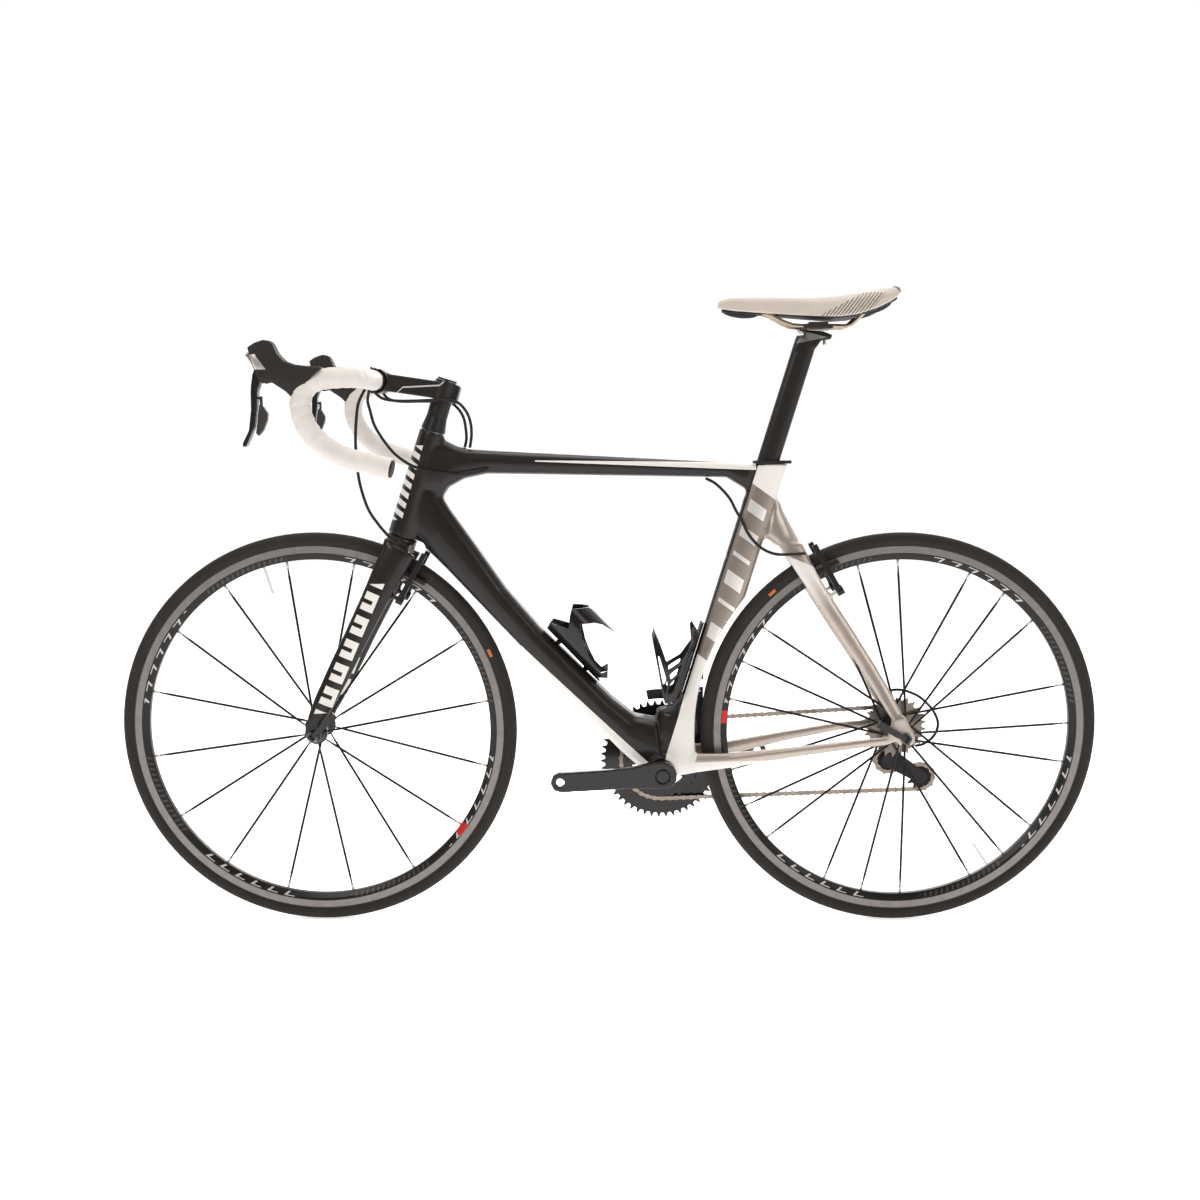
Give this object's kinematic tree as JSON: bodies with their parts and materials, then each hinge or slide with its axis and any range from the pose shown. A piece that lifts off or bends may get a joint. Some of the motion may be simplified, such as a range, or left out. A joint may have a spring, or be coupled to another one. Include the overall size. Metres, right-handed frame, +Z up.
{
  "type": "road bicycle",
  "caption": "Road bicycle with an aero carbon frame, drop bar, two-ring drive with rear and front derailleurs, spoked wheels and linear-pull rim brakes.",
  "frame": {"origin": "on the ground, midway between the wheel centres, in the bicycle's middle plane", "axes": "+X towards the rear, +Y to the rider's right (drive side), +Z up"},
  "size_m": [1.647, 0.4464, 1.0669],
  "materials": {
    "black_alloy": "gloss",
    "bronze_chain": "brushed",
    "carbon_black": "satin",
    "carbon_silver": "satin",
    "grey_paddle": "satin",
    "hood": "matte",
    "plastic": "matte",
    "rim": "satin",
    "saddle": "matte",
    "steel": "brushed",
    "tape": "matte",
    "tyre": "matte"
  },
  "bodies": {
    "frame": {"head_tube": "carbon_black", "top_tube": "carbon_black", "down_tube": "carbon_black", "seat_tube": "carbon_silver", "bb_shell": "carbon_black", "chain_stays": "carbon_silver", "seat_stays": "carbon_silver", "frame_bearings": "steel", "seat_clamp": "carbon_black", "front_bottle_cage": "black_alloy", "rear_bottle_cage": "black_alloy", "rear_axle": "steel", "chain": "bronze_chain", "front_loop_cables": "plastic", "rear_cables": "plastic", "front_derailleur_body": "black_alloy", "rear_derailleur_body": "black_alloy"},
    "steering": {"fork": "carbon_black", "headset_spacers": "carbon_black", "stem": "carbon_black", "stem_faceplate": "carbon_black", "handlebar": "black_alloy", "bar_tape": "tape", "lever_hoods": "hood", "front_axle": "steel", "front_brake_cable": "plastic"},
    "front_wheel": {"front_tyre": "tyre", "front_rim": "rim", "front_spokes": "black_alloy", "front_hub": "black_alloy"},
    "rear_wheel": {"rear_tyre": "tyre", "rear_rim": "rim", "rear_spokes": "black_alloy", "rear_hub": "black_alloy"},
    "cassette": {"cassette": "bronze_chain"},
    "crankset": {"crank_arm_left": "black_alloy", "crank_arm_right": "black_alloy", "chainrings": "black_alloy"},
    "derailleur_links": {"derailleur_links": "black_alloy"},
    "derailleur_knuckle": {"derailleur_knuckle": "black_alloy"},
    "derailleur_cage": {"derailleur_cage": "black_alloy"},
    "guide_pulley": {"guide_pulley": "plastic"},
    "tension_pulley": {"tension_pulley": "plastic"},
    "front_derailleur_link": {"front_derailleur_link": "black_alloy"},
    "front_derailleur_cage": {"front_derailleur_cage": "black_alloy"},
    "front_brake_arm_left": {"front_brake_arm_left": "black_alloy"},
    "front_brake_arm_right": {"front_brake_arm_right": "black_alloy"},
    "rear_brake_arm_left": {"rear_brake_arm_left": "black_alloy"},
    "rear_brake_arm_right": {"rear_brake_arm_right": "black_alloy"},
    "brake_lever_left": {"brake_lever_left": "black_alloy"},
    "brake_lever_right": {"brake_lever_right": "black_alloy"},
    "shift_paddle_left": {"shift_paddle_left": "grey_paddle"},
    "shift_paddle_right": {"shift_paddle_right": "grey_paddle"},
    "seat": {"seatpost": "carbon_black", "saddle_clamp": "steel", "saddle_rails": "bronze_chain", "saddle_base": "plastic", "saddle_cover": "saddle"},
    "front_qr_lever": {"front_qr_lever": "black_alloy"},
    "rear_qr_lever": {"rear_qr_lever": "black_alloy"}
  },
  "joints": [
    {"name": "steering", "type": "hinge", "parent": "frame", "child": "steering", "pos_m": [-0.34209, 0, 0.66224], "axis": [0.2924, 0, 0.9563], "range_deg": [-60, 60], "deforming": ["front_loop_cables"]},
    {"name": "front_wheel_spin", "type": "hinge", "parent": "steering", "child": "front_wheel", "pos_m": [-0.4895, 0, 0.334], "axis": [0, 1, 0], "continuous": true},
    {"name": "rear_wheel_spin", "type": "hinge", "parent": "frame", "child": "rear_wheel", "pos_m": [0.4895, 0, 0.334], "axis": [0, 1, 0], "continuous": true},
    {"name": "crank_spin", "type": "hinge", "parent": "frame", "child": "crankset", "pos_m": [0.08997, 0, 0.2695], "axis": [0, 1, 0], "continuous": true, "deforming": ["chain"]},
    {"name": "cassette_spin", "type": "hinge", "parent": "frame", "child": "cassette", "pos_m": [0.4895, 0, 0.334], "axis": [0, 1, 0], "continuous": true},
    {"name": "rear_derailleur_shift", "type": "hinge", "parent": "frame", "child": "derailleur_links", "pos_m": [0.5165, 0.068, 0.293], "axis": [-0.3732, -0.5538, 0.7443], "range_deg": [-20, 28]},
    {"name": "rear_derailleur_level", "type": "hinge", "parent": "derailleur_links", "child": "derailleur_knuckle", "pos_m": [0.4915, 0.062, 0.276], "axis": [-0.3732, -0.5538, 0.7443], "range_deg": [-28, 20]},
    {"name": "derailleur_cage_tension", "type": "hinge", "parent": "derailleur_knuckle", "child": "derailleur_cage", "pos_m": [0.493, 0.05, 0.279], "axis": [0, 1, 0], "range_deg": [-4, 12], "stiffness_Nm_per_rad": 0.6},
    {"name": "guide_pulley_spin", "type": "hinge", "parent": "derailleur_cage", "child": "guide_pulley", "pos_m": [0.484, 0.042, 0.27], "axis": [0, 1, 0], "continuous": true},
    {"name": "tension_pulley_spin", "type": "hinge", "parent": "derailleur_cage", "child": "tension_pulley", "pos_m": [0.5414, 0.042, 0.24], "axis": [0, 1, 0], "continuous": true},
    {"name": "front_derailleur_shift", "type": "hinge", "parent": "frame", "child": "front_derailleur_link", "pos_m": [0.14997, 0.032, 0.4175], "axis": [1, 0, 0], "range_deg": [-2, 17], "stiffness_Nm_per_rad": 1},
    {"name": "front_derailleur_level", "type": "hinge", "parent": "front_derailleur_link", "child": "front_derailleur_cage", "pos_m": [0.14997, 0.036, 0.3955], "axis": [1, 0, 0], "range_deg": [-17, 2]},
    {"name": "brake_lever_left_pull", "type": "hinge", "parent": "steering", "child": "brake_lever_left", "pos_m": [-0.51314, -0.2, 0.91924], "axis": [0, -1, 0], "range_deg": [0, 20], "stiffness_Nm_per_rad": 2},
    {"name": "brake_lever_right_pull", "type": "hinge", "parent": "steering", "child": "brake_lever_right", "pos_m": [-0.51314, 0.2, 0.91924], "axis": [0, -1, 0], "range_deg": [0, 20], "stiffness_Nm_per_rad": 2},
    {"name": "front_brake_arm_left_swing", "type": "hinge", "parent": "steering", "child": "front_brake_arm_left", "pos_m": [-0.352, -0.033, 0.563], "axis": [0.8788, 0, -0.4772], "range_deg": [-3, 0]},
    {"name": "front_brake_arm_right_swing", "type": "hinge", "parent": "steering", "child": "front_brake_arm_right", "pos_m": [-0.352, 0.033, 0.563], "axis": [0.8788, 0, -0.4772], "range_deg": [0, 3]},
    {"name": "rear_brake_arm_left_swing", "type": "hinge", "parent": "frame", "child": "rear_brake_arm_left", "pos_m": [0.3735, -0.033, 0.57], "axis": [0.8729, 0, 0.4879], "range_deg": [-3, 0]},
    {"name": "rear_brake_arm_right_swing", "type": "hinge", "parent": "frame", "child": "rear_brake_arm_right", "pos_m": [0.3735, 0.033, 0.57], "axis": [0.8729, 0, 0.4879], "range_deg": [0, 3]},
    {"name": "shift_paddle_left_push", "type": "hinge", "parent": "brake_lever_left", "child": "shift_paddle_left", "pos_m": [-0.52414, -0.2, 0.88424], "axis": [1, 0, 0], "range_deg": [0, 18], "stiffness_Nm_per_rad": 0.4},
    {"name": "shift_paddle_right_push", "type": "hinge", "parent": "brake_lever_right", "child": "shift_paddle_right", "pos_m": [-0.52414, 0.2, 0.88424], "axis": [1, 0, 0], "range_deg": [-18, 0], "stiffness_Nm_per_rad": 0.4},
    {"name": "seatpost_height", "type": "slide", "parent": "frame", "child": "seat", "axis": [0.289, 0, 0.9573], "range_m": [-0.05, 0.06]},
    {"name": "front_quick_release", "type": "hinge", "parent": "steering", "child": "front_qr_lever", "pos_m": [-0.4895, -0.0703, 0.334], "axis": [-0.6947, 0, 0.7193], "range_deg": [-150, 0]},
    {"name": "rear_quick_release", "type": "hinge", "parent": "frame", "child": "rear_qr_lever", "pos_m": [0.4895, -0.0853, 0.334], "axis": [-0.5, 0, -0.866], "range_deg": [-150, 0]}
  ],
  "couplings": [
    {"joint": "cassette_spin", "follows": "crank_spin", "ratio": 2.2667},
    {"joint": "guide_pulley_spin", "follows": "crank_spin", "ratio": -3.0909},
    {"joint": "tension_pulley_spin", "follows": "crank_spin", "ratio": 3.0909},
    {"joint": "rear_derailleur_level", "follows": "rear_derailleur_shift", "ratio": -1},
    {"joint": "front_derailleur_level", "follows": "front_derailleur_shift", "ratio": -1},
    {"joint": "front_brake_arm_left_swing", "follows": "brake_lever_left_pull", "ratio": -0.15},
    {"joint": "front_brake_arm_right_swing", "follows": "brake_lever_left_pull", "ratio": 0.15},
    {"joint": "rear_brake_arm_left_swing", "follows": "brake_lever_right_pull", "ratio": -0.15},
    {"joint": "rear_brake_arm_right_swing", "follows": "brake_lever_right_pull", "ratio": 0.15}
  ]
}
